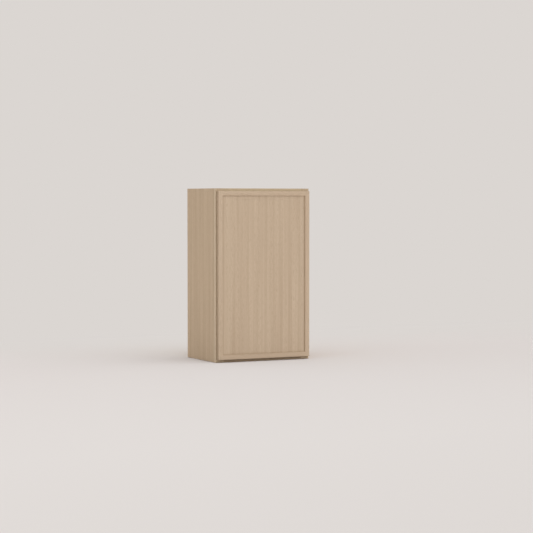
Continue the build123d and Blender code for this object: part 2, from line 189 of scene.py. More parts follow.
# %% Floor
FLOOR_RADIUS = 40.0
FLOOR_SIDES = 96
FLOOR_DROP = 1.0 * MM
# The floor's colour is painted a little darker towards the cabinet and lighter far in front, a painted light
# falloff.
FLOOR_NEAR = "#D6D1CE"
FLOOR_FAR = "#D1CBC8"
PAINTED_FALLOFF_SPAN = (-2.6, -0.4)
BACK_FADE = (-0.2, 1.2)
FAR_FADE = (0.6, 9.0)

floor_mesh = bpy.data.meshes.new("Studio floor")
disc = bmesh.new()
bmesh.ops.create_circle(disc, cap_ends=True, segments=FLOOR_SIDES, radius=FLOOR_RADIUS)
bmesh.ops.translate(disc, verts=disc.verts, vec=(0, 0, cad_box[0][2] - FLOOR_DROP))
disc.to_mesh(floor_mesh)
disc.free()
floor = bpy.data.objects.new("Studio_floor", floor_mesh)
scene.collection.objects.link(floor)

paper, tree, place = new_material("Matt seamless paper")
back = add(tree, "ShaderNodeSeparateXYZ", {0: place}).outputs["Y"]
away = add(tree, "ShaderNodeVectorMath", {0: place}, operation="LENGTH").outputs["Value"]
fades = []
for distance, (start, end) in ((back, BACK_FADE), (away, FAR_FADE)):
    reach = {"Value": distance, "From Min": start, "From Max": end}
    fades.append(add(tree, "ShaderNodeMapRange", reach, interpolation_type="SMOOTHSTEP").outputs[0])
far = add(tree, "ShaderNodeMath", {0: fades[0], 1: fades[1]}, operation="MAXIMUM").outputs[0]
fade = add(tree, "ShaderNodeMath", {0: far, 1: looking(tree)}, operation="MULTIPLY")
# Painted light falloff: the paper is lighter far in front and darker near the cabinet.
tone = tinted(tree, back, PAINTED_FALLOFF_SPAN, FLOOR_NEAR, FLOOR_FAR)
matt = add(tree, "ShaderNodeBsdfDiffuse", {"Color": tone, "Roughness": 1.0})
glow = add(tree, "ShaderNodeEmission", {"Color": linear(BACKGROUND), "Strength": 1.0})
blend = add(tree, "ShaderNodeMixShader", {0: fade.outputs[0], 1: matt.outputs[0], 2: glow.outputs[0]})
add(tree, "ShaderNodeOutputMaterial", {"Surface": blend.outputs[0]})
floor_mesh.materials.append(paper)
print("floor at", round(cad_box[0][2] - FLOOR_DROP, 4), "m")

# %% [markdown]
# Wood is a bundle of long fibres, so every mark on it is far longer along the grain than across. One layer of
# figure is a noise texture that is stretched to a real size: a Mapping node of the Texture kind first turns
# the board's coordinates to its grain, then divides them by the size of the mark. The turn also rolls the
# board by 45 degrees about its grain, as in rift-cut timber, whose growth rings slant through the board. So
# both faces show straight lines, and the end of a stile shows slanting rings, all from one solid pattern.

# %% Grain directions and one layer of figure
RIFT_ANGLE = 45
RIFT = Matrix.Rotation(math.radians(RIFT_ANGLE), 3, "Z")
UPRIGHT = RIFT.to_euler()
LEVEL = (Matrix.Rotation(math.radians(90), 3, "Y") @ RIFT).to_euler()


def figure(tree, place, turn, size_mm, shift=(0, 0, 0), detail=2.0):
    """Noise from 0 to 1 with marks of a real size: across, through and along the grain, in millimetres."""
    turned = add(
        tree,
        "ShaderNodeMapping",
        {"Vector": place, "Location": shift, "Rotation": turn, "Scale": [s * MM for s in size_mm]},
        vector_type="TEXTURE",
    )
    noise = add(tree, "ShaderNodeTexNoise", {"Vector": turned.outputs[0], "Scale": 1.0, "Detail": detail})
    return noise.outputs["Fac"]


print("level grain turn:", [round(math.degrees(a)) for a in LEVEL])

# %% [markdown]
# Rift-cut white oak under a clear matt lacquer is the whole outside of the cabinet. From across a room it is
# an even greyish tan with soft upright bands about a centimetre wide, which is all that the photograph shows.
# From nearby it has growth rings a few millimetres apart, a fine fibre between them, short pale flecks, and
# dark open pores like pencil dashes that keep to the pale early wood of each ring. Real pores are about 0.3
# mm wide. They are drawn coarser, because a render of the whole cabinet would lose them. They also dent the
# lacquer a little, which the bump carries. No two kinds of board come from the same plank, so each has its
# own place in the pattern and its own pair of tones. The face frame's bottom rail has darker tones than the
# rest, which is painted shade for the shade under the door.

# %% Oak figure
OAK_PORE = "#AD967D"
BAND_SIZE = (11, 70, 800)
RING_SIZE = (3.4, 60, 900)
FIBRE_SIZE = (1.1, 9, 150)
PORE_SIZE = (0.45, 1.4, 20)
FLECK_SIZE = (1.6, 4, 18)
TONE_SPAN = (0.33, 0.67)
FLECK_SPAN = (0.72, 0.95)
EARLY_WOOD_SPAN = (0.60, 0.42)
PORE_SPAN = (0.55, 0.68)
FIBRE_SHARE = 0.4
LINE_SHARE = 0.5


def oak(tree, place, turn, shift, pale, deep):
    """Colour and open pores of rift-cut oak."""
    bands = figure(tree, place, turn, BAND_SIZE, shift, detail=1.0)
    rings = figure(tree, place, turn, RING_SIZE, shift)
    fibres = figure(tree, place, turn, FIBRE_SIZE, shift)
    pores = figure(tree, place, turn, PORE_SIZE, shift, detail=1.0)
    flecks = figure(tree, place, turn, FLECK_SIZE, shift, detail=0.0)
    lines = add(tree, "ShaderNodeMix", {0: FIBRE_SHARE, 2: rings, 3: fibres}, data_type="FLOAT").outputs[0]
    tone = add(tree, "ShaderNodeMix", {0: LINE_SHARE, 2: bands, 3: lines}, data_type="FLOAT").outputs[0]
    wood = tinted(tree, tone, TONE_SPAN, pale, deep)
    wood = tinted(tree, flecks, FLECK_SPAN, wood, pale)
    low, high = EARLY_WOOD_SPAN
    early = add(tree, "ShaderNodeMapRange", {"Value": rings, "From Min": low, "From Max": high}).outputs[0]
    low, high = PORE_SPAN
    pore = add(
        tree, "ShaderNodeMapRange", {"Value": pores, "From Min": low, "From Max": high, "To Max": early}
    ).outputs[0]
    colour = add(tree, "ShaderNodeMix", {0: pore, 6: wood, 7: linear(OAK_PORE)}, data_type="RGBA").outputs[2]
    return colour, pore


print("oak rings", RING_SIZE[0], "mm and pores", PORE_SIZE[0], "mm across the grain")

# %% Wood surface
OAK_ROUGHNESS = 0.60
LACQUER_SHINE = 0.12
LACQUER_IOR = 1.5
DENT_DEPTH_MM = 0.10


def wood_surface(tree, colour, roughness, dents=None):
    """A wood surface with a low shine, dented where dents is high."""
    inputs = {
        "Base Color": colour,
        "Roughness": roughness,
        "IOR": LACQUER_IOR,
        "Specular IOR Level": LACQUER_SHINE,
    }
    if dents is not None:
        bump = add(tree, "ShaderNodeBump", {"Height": dents, "Distance": DENT_DEPTH_MM * MM}, invert=True)
        inputs["Normal"] = bump.outputs[0]
    surface = add(tree, "ShaderNodeBsdfPrincipled", inputs)
    add(tree, "ShaderNodeOutputMaterial", {"Surface": surface.outputs[0]})


print("oak roughness", OAK_ROUGHNESS, "under a finish with", LACQUER_SHINE, "as its specular level")

# %% [markdown]
# Some of the darkening here is painted into the wood's colour. The door's outer edges and the front of the
# face-frame stiles are painted a shade darker, as painted shade. On the recessed door panel, shade is painted
# in the corner along the stiles and at the foot. On the cabinet's sides, finish gathers in the fine groove
# where each side panel meets the face frame and leaves a dark joint line. All of this is told from how far a
# point lies from planes of the CAD model, in the piece's own coordinates, so the marks stay with the door as
# it swings.

# %% How much darker the joint finish and the painted shade make the wood
# The tone of finish gathered in the side joints, and of the painted shade on the door and the face frame.
FINISH_AND_SHADE_TONE = "#8D7559"


def inset(tree, place, axis, low, high):
    """How far inside two planes across an axis a point lies, in metres."""
    along = add(tree, "ShaderNodeSeparateXYZ", {0: place}).outputs[axis]
    offset = add(tree, "ShaderNodeMath", {0: along, 1: (low + high) / 2}, operation="SUBTRACT").outputs[0]
    away = add(tree, "ShaderNodeMath", {0: offset}, operation="ABSOLUTE").outputs[0]
    return add(tree, "ShaderNodeMath", {0: (high - low) / 2, 1: away}, operation="SUBTRACT").outputs[0]


def finish_and_shade(tree, wood, measure, span, most):
    """Wood that darkens towards the finish-and-shade tone, up to a share, as a measure goes from one end of
    its span to the other. It gives both the dark joint finish and the painted shade.
    """
    reach = {"Value": measure, "From Min": span[0], "From Max": span[1], "To Max": most}
    share = add(tree, "ShaderNodeMapRange", reach).outputs[0]
    blend = add(tree, "ShaderNodeMix", {0: share, 6: wood, 7: linear(FINISH_AND_SHADE_TONE)}, data_type="RGBA")
    return blend.outputs[2]


print("finish where it is thickest:", FINISH_AND_SHADE_TONE)

# %% Painted shade on the door
# The door's four outer edges are painted a shade darker, as painted shade.
EDGE_SHADE_SHARE = 0.30
EDGE_SHADE_SKIN = (0.5 * MM, 0.0)
# Painted shade in the door panel's corner, fading over a few millimetres from the stiles and the bottom rail.
CORNER_SHADE_SHARE = 0.45
CORNER_SHADE_REACH = 3.5 * MM
DOOR_LOW, DOOR_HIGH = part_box("door_left_stile")[0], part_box("door_right_stile")[1]
FIELD_LEFT, FIELD_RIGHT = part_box("door_left_stile")[1].x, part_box("door_right_stile")[0].x
FIELD_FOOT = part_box("door_bottom_rail")[1].z


def painted_shade_on_edges(tree, place, wood):
    """Wood with painted shade: a shade darker on the door's four outer edges."""
    across = inset(tree, place, "X", DOOR_LOW.x, DOOR_HIGH.x)
    upright = inset(tree, place, "Z", DOOR_LOW.z, DOOR_HIGH.z)
    nearest = add(tree, "ShaderNodeMath", {0: across, 1: upright}, operation="MINIMUM").outputs[0]
    return finish_and_shade(tree, wood, nearest, EDGE_SHADE_SKIN, EDGE_SHADE_SHARE)


def painted_corner_shade(tree, place, wood):
    """Wood with painted shade, darkening towards the corner of the door panel with its stiles and its bottom
    rail.
    """
    across = inset(tree, place, "X", FIELD_LEFT, FIELD_RIGHT)
    level = add(tree, "ShaderNodeSeparateXYZ", {0: place}).outputs["Z"]
    height = add(tree, "ShaderNodeMath", {0: level, 1: FIELD_FOOT}, operation="SUBTRACT").outputs[0]
    nearest = add(tree, "ShaderNodeMath", {0: across, 1: height}, operation="MINIMUM").outputs[0]
    fall = add(tree, "ShaderNodeMath", {0: nearest, 1: -CORNER_SHADE_REACH}, operation="DIVIDE").outputs[0]
    corner_shade = add(tree, "ShaderNodeMath", {0: fall}, operation="EXPONENT").outputs[0]
    return finish_and_shade(tree, wood, corner_shade, (0.0, 1.0), CORNER_SHADE_SHARE)


print("door panel's field is", round((FIELD_RIGHT - FIELD_LEFT) / MM, 1), "mm wide")

# %% Painted shade on the face frame's front, and dark joint lines
# The front of the face-frame stiles is painted a shade darker, as painted shade.
FRONT_SHADE_SHARE = 0.30
FRONT_SHADE_SKIN = (1.2 * MM, 0.6 * MM)
FRONT_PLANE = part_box("left_frame_stile")[0].y
JOINT_SHARE = 0.75
JOINT_SKIN = (1.0 * MM, 0.5 * MM)
JOINT_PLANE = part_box("left_frame_stile")[1].y


def painted_front_shade(tree, place, wood):
    """Wood with painted shade: a shade darker on the front of the face frame."""
    depth = add(tree, "ShaderNodeSeparateXYZ", {0: place}).outputs["Y"]
    behind = add(tree, "ShaderNodeMath", {0: depth, 1: FRONT_PLANE}, operation="SUBTRACT").outputs[0]
    return finish_and_shade(tree, wood, behind, FRONT_SHADE_SKIN, FRONT_SHADE_SHARE)


def darker_joint(tree, place, wood):
    """Wood that is darker in the fine groove where a side panel meets the face frame."""
    across = inset(tree, place, "X", cad_box[0][0], cad_box[1][0])
    depth = add(tree, "ShaderNodeSeparateXYZ", {0: place}).outputs["Y"]
    behind = add(tree, "ShaderNodeMath", {0: depth, 1: JOINT_PLANE}, operation="SUBTRACT").outputs[0]
    away = add(tree, "ShaderNodeMath", {0: behind}, operation="ABSOLUTE").outputs[0]
    farther = add(tree, "ShaderNodeMath", {0: across, 1: away}, operation="MAXIMUM").outputs[0]
    return finish_and_shade(tree, wood, farther, JOINT_SKIN, JOINT_SHARE)


print("face frame is", round((JOINT_PLANE - FRONT_PLANE) / MM, 2), "mm thick")

# %% Oak boards
OAK_BOARDS = {
    "face-frame stile": (UPRIGHT, (0.31, 0.12, 0.05), "#D2BFA5", "#C7B499"),
    "face-frame top rail": (LEVEL, (0.14, 0.43, 0.21), "#C5B497", "#BAA78A"),
    # The bottom rail's darker tones are painted shade, for the shade under the door.
    "face-frame bottom rail": (LEVEL, (0.14, 0.43, 0.21), "#AF9B82", "#A48F77"),
    "door stile": (UPRIGHT, (0.57, 0.26, 0.40), "#CAB69E", "#BFA991"),
    "door rail": (LEVEL, (0.72, 0.35, 0.63), "#C9B59D", "#BEA890"),
}
oak_boards = {}
for board, (turn, shift, pale, deep) in OAK_BOARDS.items():
    material, tree, place = new_material(f"Solid rift oak, matt lacquer, {board}")
    colour, dents = oak(tree, place, turn, shift, pale, deep)
    # Door boards get painted shade on their outer edges.
    if board.startswith("door"):
        colour = painted_shade_on_edges(tree, place, colour)
    else:
        colour = darker_joint(tree, place, colour)
    # The face-frame stiles also get painted shade on their front.
    if board == "face-frame stile":
        colour = painted_front_shade(tree, place, colour)
    wood_surface(tree, colour, OAK_ROUGHNESS, dents)
    oak_boards[board] = material
print("oak boards:", list(oak_boards))

# %% [markdown]
# The box is made of veneered plywood, and a sheet of it shows two things: its face veneers, and at every cut
# edge the stack of plies. A solid pattern gives both. The depth through the sheet, from 0 at one face to 1 at
# the other, picks the veneer at either end and plies in between, with every second ply turned and darker and
# a thin dark glue line between them. Outside the veneer is oak, and inside it is factory-finished maple,
# which is creamy, almost without figure and a little glossier.

# %% Face veneers
OAK_VENEERS = {
    "oak": ("#CAB69C", "#B9A389"),
    "door oak": ("#CAB69E", "#B9A38B"),
    "side oak": ("#C9B499", "#B8A186"),
}
OAK_VENEER_SHIFT = (0.20, 0.30, 0.10)
MAPLE_SHIFT = (0.10, 0.10, 0.50)
MAPLE_PALE = "#E6D8BF"
MAPLE_DEEP = "#DACAAD"
MAPLE_ROUGHNESS = 0.38
MAPLE_BAND_SIZE = (55, 90, 1800)
MAPLE_LINE_SIZE = (2.6, 8, 160)
MAPLE_LINE_SHARE = 0.4
FIBRE_SPAN = (0.30, 0.70)


def maple(tree, place, turn, shift):
    """Colour of plain maple veneer."""
    bands = figure(tree, place, turn, MAPLE_BAND_SIZE, shift)
    lines = figure(tree, place, turn, MAPLE_LINE_SIZE, shift)
    mixed = {0: MAPLE_LINE_SHARE, 2: bands, 3: lines}
    tone = add(tree, "ShaderNodeMix", mixed, data_type="FLOAT").outputs[0]
    return tinted(tree, tone, FIBRE_SPAN, MAPLE_PALE, MAPLE_DEEP)


def veneer(tree, kind, place, turn):
    """Colour, open pores and roughness of one face veneer."""
    if kind == "maple":
        return maple(tree, place, turn, MAPLE_SHIFT), 0.0, MAPLE_ROUGHNESS
    colour, pores = oak(tree, place, turn, OAK_VENEER_SHIFT, *OAK_VENEERS[kind])
    # The door panel's face gets painted shade in its corners.
    if kind == "door oak":
        colour = painted_corner_shade(tree, place, colour)
    if kind == "side oak":
        colour = darker_joint(tree, place, colour)
    return colour, pores, OAK_ROUGHNESS


print("veneers:", ["maple", *OAK_VENEERS])

# %% Plies at a cut edge
PLY_LONG = "#D2BC97"
PLY_CROSS = "#B2966D"
GLUE_LINE = "#8A6F4E"
GLUE_SHARE = 0.08
HALF = 0.5


def plies(tree, place, turn, depth, count):
    """Colour of a plywood edge: long and cross plies with glue lines between them."""
    stack = add(tree, "ShaderNodeMath", {0: depth, 1: float(count)}, operation="MULTIPLY").outputs[0]
    pair = add(tree, "ShaderNodeMath", {0: stack, 1: 2.0}, operation="MODULO").outputs[0]
    cross = add(tree, "ShaderNodeMath", {0: pair, 1: 1.0}, operation="GREATER_THAN").outputs[0]
    near_glue = add(tree, "ShaderNodeMath", {0: stack, 1: HALF}, operation="PINGPONG").outputs[0]
    glue = add(tree, "ShaderNodeMath", {0: near_glue, 1: GLUE_SHARE}, operation="LESS_THAN").outputs[0]
    fibres = figure(tree, place, turn, MAPLE_LINE_SIZE, MAPLE_SHIFT, detail=3.0)
    long_ply = tinted(tree, fibres, FIBRE_SPAN, PLY_LONG, MAPLE_DEEP)
    cross_ply = tinted(tree, fibres, FIBRE_SPAN, PLY_CROSS, PLY_LONG)
    wood = add(tree, "ShaderNodeMix", {0: cross, 6: long_ply, 7: cross_ply}, data_type="RGBA").outputs[2]
    return add(tree, "ShaderNodeMix", {0: glue, 6: wood, 7: linear(GLUE_LINE)}, data_type="RGBA").outputs[2]


print("glue lines take", 2 * GLUE_SHARE, "of a ply")

# %% Veneered sheets
VENEER_MM = 0.7
SHEETS = (
    ("left_side_panel", "X", 7, UPRIGHT, "side oak", "maple"),
    ("right_side_panel", "X", 7, UPRIGHT, "maple", "side oak"),
    ("door_panel", "Y", 7, UPRIGHT, "door oak", "oak"),
    ("back_panel", "Y", 5, UPRIGHT, "maple", "maple"),
    ("top_panel", "Z", 7, LEVEL, "maple", "maple"),
    ("bottom_panel", "Z", 7, LEVEL, "maple", "maple"),
    ("upper_shelf", "Z", 11, LEVEL, "maple", "maple"),
    ("lower_shelf", "Z", 11, LEVEL, "maple", "maple"),
)


def plywood(node, axis, count, turn, low_veneer, high_veneer):
    """Gives one CAD board a sheet material with the veneers of its low and its high face."""
    low, high = (corner["XYZ".index(axis)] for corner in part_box(node))
    woods = " and ".join(dict.fromkeys(kind.split()[-1] for kind in (low_veneer, high_veneer)))
    material, tree, place = new_material(f"Plywood, {woods} veneer, {node.replace('_', ' ')}")
    across = add(tree, "ShaderNodeSeparateXYZ", {0: place}).outputs[axis]
    depth = add(tree, "ShaderNodeMapRange", {"Value": across, "From Min": low, "From Max": high}).outputs[0]
    upper = add(tree, "ShaderNodeMath", {0: depth, 1: HALF}, operation="GREATER_THAN").outputs[0]
    face, pores, roughness = veneer(tree, low_veneer, place, turn)
    if high_veneer != low_veneer:
        far_face, far_pores, far_roughness = veneer(tree, high_veneer, place, turn)
        face = add(tree, "ShaderNodeMix", {0: upper, 6: face, 7: far_face}, data_type="RGBA").outputs[2]
        pores = add(tree, "ShaderNodeMix", {0: upper, 2: pores, 3: far_pores}, data_type="FLOAT").outputs[0]
        if far_roughness != roughness:
            ends = {0: upper, 2: roughness, 3: far_roughness}
            roughness = add(tree, "ShaderNodeMix", ends, data_type="FLOAT").outputs[0]
    from_face = add(tree, "ShaderNodeMath", {0: depth, 1: HALF}, operation="PINGPONG").outputs[0]
    skin = VENEER_MM * MM / (high - low)
    core = add(tree, "ShaderNodeMath", {0: from_face, 1: skin}, operation="GREATER_THAN").outputs[0]
    stack = plies(tree, place, turn, depth, count)
    colour = add(tree, "ShaderNodeMix", {0: core, 6: face, 7: stack}, data_type="RGBA").outputs[2]
    wood_surface(tree, colour, roughness, None if woods == "maple" else pores)
    cad_nodes[node].data.materials.clear()
    cad_nodes[node].data.materials.append(material)


for sheet in SHEETS:
    plywood(*sheet)
print("plywood boards:", len(SHEETS))

# %% [markdown]
# The shelf edges have a thin maple band, and the hanging rails behind the back are planed but unfinished
# softer wood, which is duller and shows clearer lines.

# %% Edge band and hanging-rail wood
EDGE_BAND_SHIFT = (0.4, 0.2, 0.3)
RAIL_SHIFT = (0.6, 0.1, 0.2)
RAIL_PALE = "#D8C9AC"
RAIL_DEEP = "#C9B797"
RAIL_LINE_SIZE = (3.4, 22, 500)
RAIL_ROUGHNESS = 0.8

edge_band, tree, place = new_material("Maple edge band, satin finish")
wood_surface(tree, maple(tree, place, LEVEL, EDGE_BAND_SHIFT), MAPLE_ROUGHNESS)

rail_wood, tree, place = new_material("Planed poplar, unfinished")
lines = figure(tree, place, LEVEL, RAIL_LINE_SIZE, RAIL_SHIFT, detail=3.0)
planed = tinted(tree, lines, FIBRE_SPAN, RAIL_PALE, RAIL_DEEP)
wood_surface(tree, planed, RAIL_ROUGHNESS, lines)
print("made:", edge_band.name, "and", rail_wood.name)

# %% [markdown]
# The hinge straps, cups, pins and screws are pressed steel with bright nickel plating. The hinge bases are
# zinc castings, which are plated too but keep a slightly grainy, duller skin. The shelf pins are stamped
# steel with bluish zinc plate, and the brads are bare wire. The closing damper is moulded grey plastic. A
# noise of under a millimetre in the roughness breaks the highlights, as handling does.

# %% Metals and plastic
NICKEL = "#CFCAC1"
ZINC = "#BDBCB8"
ZINC_PLATE = "#C3C7CA"
BRIGHT_STEEL = "#B9B7B3"
PLASTIC_GREY = "#77797B"
POLISHED, STAMPED, DRAWN = (0.16, 0.34), (0.26, 0.44), (0.30, 0.50)
CAST, MOULDED = (0.34, 0.52), (0.40, 0.55)
POLISH_SIZE = (0.8, 0.8, 6)
GRAIN_SIZE = (0.7, 0.7, 0.7)
PLATE_DEPTH_MM = 0.01
MOULD_DEPTH_MM = 0.02
CAST_DEPTH_MM = 0.03


def hard_skin(name, hex_colour, roughness, size_mm, depth_mm, metallic=1.0):
    """A metal or plastic skin whose roughness and surface vary with a fine noise."""
    material, tree, place = new_material(name)
    grain = figure(tree, place, UPRIGHT, size_mm)
    ends = {"Value": grain, "To Min": roughness[0], "To Max": roughness[1]}
    inputs = {
        "Base Color": linear(hex_colour),
        "Metallic": metallic,
        "Roughness": add(tree, "ShaderNodeMapRange", ends).outputs[0],
        "Normal": add(tree, "ShaderNodeBump", {"Height": grain, "Distance": depth_mm * MM}).outputs[0],
    }
    surface = add(tree, "ShaderNodeBsdfPrincipled", inputs)
    add(tree, "ShaderNodeOutputMaterial", {"Surface": surface.outputs[0]})
    print("hardware finish:", name)
    return material


nickel_steel = hard_skin("Pressed steel, bright nickel plate", NICKEL, POLISHED, POLISH_SIZE, PLATE_DEPTH_MM)
cast_zinc = hard_skin("Zinc casting, satin nickel plate", ZINC, CAST, GRAIN_SIZE, CAST_DEPTH_MM)
zinc_steel = hard_skin("Stamped steel, zinc plate", ZINC_PLATE, STAMPED, GRAIN_SIZE, PLATE_DEPTH_MM)
bright_steel = hard_skin("Drawn steel wire, bare", BRIGHT_STEEL, DRAWN, GRAIN_SIZE, PLATE_DEPTH_MM)
damper_plastic = hard_skin("Moulded acetal, grey", PLASTIC_GREY, MOULDED, GRAIN_SIZE, MOULD_DEPTH_MM, 0.0)

# %% [markdown]
# The CAD model keeps every screw plain, so here the screws get what the eye expects: a countersunk head with
# a cross-shaped recess, a tapering core and a thread. All of them are one shape in different sizes, which is
# what Geometry Nodes are for. One tree builds a single screw that points along Z, copies it to each place,
# and turns each copy about its own axis by a seeded random angle, because no one lines up the recesses by
# hand. The recess is cut with a Boolean. The thread is a small triangle swept along a spiral.

# %% Helpers for trees that copy a shape to many places
def new_tree(name, sizes):
    """An empty Geometry Nodes tree: places in, a mesh out, and named inputs for sizes, turn and finish."""
    tree = bpy.data.node_groups.new(name, "GeometryNodeTree")
    kinds = {"Places": "NodeSocketGeometry"}
    kinds.update((size, "NodeSocketFloat") for size in sizes)
    kinds.update({"Turn": "NodeSocketVector", "Finish": "NodeSocketMaterial"})
    for title, kind in kinds.items():
        tree.interface.new_socket(title, in_out="INPUT", socket_type=kind)
    tree.interface.new_socket("Mesh", in_out="OUTPUT", socket_type="NodeSocketGeometry")
    return tree, add(tree, "NodeGroupInput").outputs


def lowered(tree, shape, depth):
    """A shape moved down its own axis."""
    down = add(tree, "ShaderNodeMath", {0: 0.0, 1: depth}, operation="SUBTRACT").outputs[0]
    offset = add(tree, "ShaderNodeCombineXYZ", {"Z": down}).outputs[0]
    return add(tree, "GeometryNodeTransform", {"Geometry": shape, "Translation": offset}).outputs[0]


def placed(tree, given, shape, seed):
    """Copies of a shape at the given places, realized, with their finish, sent to the tree's output."""
    smooth = add(tree, "GeometryNodeSetShadeSmooth", {"Geometry": shape})
    points = add(tree, "GeometryNodeMeshToPoints", {"Mesh": given["Places"]})
    turn = add(tree, "FunctionNodeEulerToRotation", {0: given["Turn"]})
    copies = add(
        tree,
        "GeometryNodeInstanceOnPoints",
        {"Points": points.outputs[0], "Instance": smooth.outputs[0], "Rotation": turn.outputs[0]},
    )
    angle = add(tree, "FunctionNodeRandomValue", {2: 0.0, 3: math.tau, "Seed": seed}, data_type="FLOAT")
    about_axis = add(tree, "ShaderNodeCombineXYZ", {"Z": angle.outputs[1]})
    spin = add(tree, "FunctionNodeEulerToRotation", {0: about_axis.outputs[0]})
    spun = add(
        tree,
        "GeometryNodeRotateInstances",
        {"Instances": copies.outputs[0], "Rotation": spin.outputs[0], "Local Space": True},
    )
    real = add(tree, "GeometryNodeRealizeInstances", {"Geometry": spun.outputs[0]})
    finish = {"Geometry": real.outputs[0], "Material": given["Finish"]}
    finished = add(tree, "GeometryNodeSetMaterial", finish)
    add(tree, "NodeGroupOutput", {"Mesh": finished.outputs[0]})


print("each tree takes places, sizes in metres, a turn and a finish")

# %% Screw head with its recess
SCREW_SIZES_MM = {
    "Head radius": 3.5,
    "Neck radius": 1.7,
    "Head height": 1.8,
    "Length": 20.0,
    "Core radius": 1.2,
    "Thread pitch": 1.8,
    "Thread height": 0.45,
    "Recess span": 4.2,
    "Recess width": 0.95,
    "Recess depth": 1.1,
}
HEAD_SIDES = 40

screw_tree, given = new_tree("Cross-recess screws", SCREW_SIZES_MM)
head = add(
    screw_tree,
    "GeometryNodeMeshCone",
    {
        "Vertices": HEAD_SIDES,
        "Radius Top": given["Head radius"],
        "Radius Bottom": given["Neck radius"],
        "Depth": given["Head height"],
    },
)
head_down = lowered(screw_tree, head.outputs["Mesh"], given["Head height"])
# The arms of the cross are centred on the head's top, so they are twice as tall as the recess is deep.
bite = add(screw_tree, "ShaderNodeMath", {0: given["Recess depth"], 1: 2.0}, operation="MULTIPLY").outputs[0]
arms = []
for span, width in (("Recess span", "Recess width"), ("Recess width", "Recess span")):
    size = add(screw_tree, "ShaderNodeCombineXYZ", {"X": given[span], "Y": given[width], "Z": bite})
    arms.append(add(screw_tree, "GeometryNodeMeshCube", {"Size": size.outputs[0]}).outputs["Mesh"])
cut = {"Mesh 1": head_down, "Mesh 2": arms}
recessed = add(screw_tree, "GeometryNodeMeshBoolean", cut, operation="DIFFERENCE", solver="EXACT")
print("screw head with", len(arms), "recess arms")

# %% Screw core and thread
CORE_SIDES = 16
RIDGE_SIDES = 3
TIP_SHARE = 0.25
TURN_SEED = 7

under_head = {0: given["Length"], 1: given["Head height"]}
run = add(screw_tree, "ShaderNodeMath", under_head, operation="SUBTRACT").outputs[0]
taper = {0: given["Core radius"], 1: TIP_SHARE}
tip = add(screw_tree, "ShaderNodeMath", taper, operation="MULTIPLY").outputs[0]
core = add(
    screw_tree,
    "GeometryNodeMeshCone",
    {"Vertices": CORE_SIDES, "Radius Top": given["Core radius"], "Radius Bottom": tip, "Depth": run},
)
turns = add(screw_tree, "ShaderNodeMath", {0: run, 1: given["Thread pitch"]}, operation="DIVIDE").outputs[0]
helix = add(
    screw_tree,
    "GeometryNodeCurveSpiral",
    {
        "Resolution": CORE_SIDES,
        "Rotations": turns,
        "Start Radius": tip,
        "End Radius": given["Core radius"],
        "Height": run,
    },
)
triangle = {"Resolution": RIDGE_SIDES, "Radius": given["Thread height"]}
ridge = add(screw_tree, "GeometryNodeCurvePrimitiveCircle", triangle)
thread = add(
    screw_tree,
    "GeometryNodeCurveToMesh",
    {"Curve": helix.outputs[0], "Profile Curve": ridge.outputs[0], "Fill Caps": True},
)
body = add(screw_tree, "GeometryNodeJoinGeometry", {0: [core.outputs["Mesh"], thread.outputs[0]]})
body_down = lowered(screw_tree, body.outputs[0], given["Length"])
screw = add(screw_tree, "GeometryNodeJoinGeometry", {0: [recessed.outputs["Mesh"], body_down]})
placed(screw_tree, given, screw.outputs[0], TURN_SEED)
print("screw tree:", len(screw_tree.nodes), "nodes")

# %% [markdown]
# A tree needs an object to run on. Here that is a cloud of loose points, one at each place. The solved result
# is copied to a plain mesh, with edges that are sharp where the shape turns a corner, and the object with its
# modifier goes again. A finished piece is then one or more such meshes joined, at the origin, which rides on
# a body of the CAD model and may stand for CAD nodes.

# %% Turn a tree into plain meshes and fit them to the model
SHARP_ANGLE = math.radians(35)


def made_by(tree, places, sizes_mm, turn, finish):
    """The plain mesh that a tree makes at some places."""
    points = bpy.data.meshes.new(f"{tree.name}, places")
    points.from_pydata(places, [], [])
    holder = bpy.data.objects.new(tree.name, points)
    scene.collection.objects.link(holder)
    modifier = holder.modifiers.new(tree.name, "NODES")
    modifier.node_group = tree
    values = {size: value * MM for size, value in sizes_mm.items()}
    values.update({"Turn": turn, "Finish": finish})
    for socket in tree.interface.items_tree:
        if socket.name in values:
            modifier[socket.identifier] = values[socket.name]
    solved = holder.evaluated_get(bpy.context.evaluated_depsgraph_get())
    mesh = bpy.data.meshes.new_from_object(solved)
    holder.modifiers.remove(modifier)
    bpy.data.objects.remove(holder)
    mesh.set_sharp_from_angle(angle=SHARP_ANGLE)
    return mesh


def fitted(name, meshes, body, slot, *nodes):
    """A finished piece made of one or more meshes, which rides on a body and may stand for CAD nodes."""
    whole = bmesh.new()
    for mesh in meshes:
        whole.from_mesh(mesh)
    # A mesh made by nodes keeps an empty first slot, and its finish comes last.
    for face in whole.faces:
        face.material_index = 0
    joined = bpy.data.meshes.new(name)
    whole.to_mesh(joined)
    whole.free()
    joined.materials.append(meshes[0].materials[-1])
    piece = bpy.data.objects.new(name, joined)
    scene.collection.objects.link(piece)
    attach(piece, body)
    if nodes:
        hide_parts(*nodes)
    spans = ([corner[axis] for corner in piece.bound_box] for axis in range(3))
    size = [round((max(span) - min(span)) / MM, 1) for span in spans]
    print(name, "has", len(joined.polygons), "faces and fills", size, "mm")


print("edges over", round(math.degrees(SHARP_ANGLE)), "degrees stay sharp")

# %% [markdown]
# Two screws hold each hinge base to the edge of the face frame, and two shorter ones hold each cup to the
# door. Their places come from the boxes of the CAD nodes that they replace: the head's radius is half of the
# box's narrow side, and the two heads touch the box's ends. The base screws ride on the cabinet and face its
# middle. The cup screws ride on the door and face its back.

